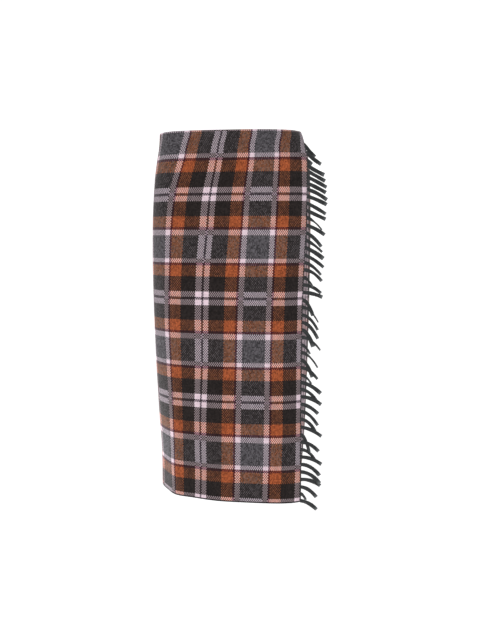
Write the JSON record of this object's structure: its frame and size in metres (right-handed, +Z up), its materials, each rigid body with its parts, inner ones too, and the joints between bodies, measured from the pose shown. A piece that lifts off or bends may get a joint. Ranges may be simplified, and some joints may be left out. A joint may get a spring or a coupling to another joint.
{
  "type": "wrap skirt",
  "caption": "Straight plaid wool wrap skirt in its worn hollow form, with a plain waistband and a fringed free edge down the wearer's left side.",
  "frame": {"origin": "centre of the waist opening, level with the waistband's top edge, where the wearer's waist holds the skirt", "axes": "+Z up along the wearer's body; the front faces -Y; +X is the wearer's left, where the fringed free edge is"},
  "size_m": [0.3846, 0.2389, 0.7968],
  "materials": {
    "plaid_wool": "soft brushed wool plaid in charcoal, rust, near-black brown and pale lilac",
    "fringe_wool": "flat charcoal wool strands with cut ends"
  },
  "bodies": {
    "root": {"waistband": "plaid_wool", "front_over_panel": "plaid_wool", "back_panel": "plaid_wool", "front_under_panel": "plaid_wool", "fringe": "fringe_wool"}
  },
  "joints": []
}
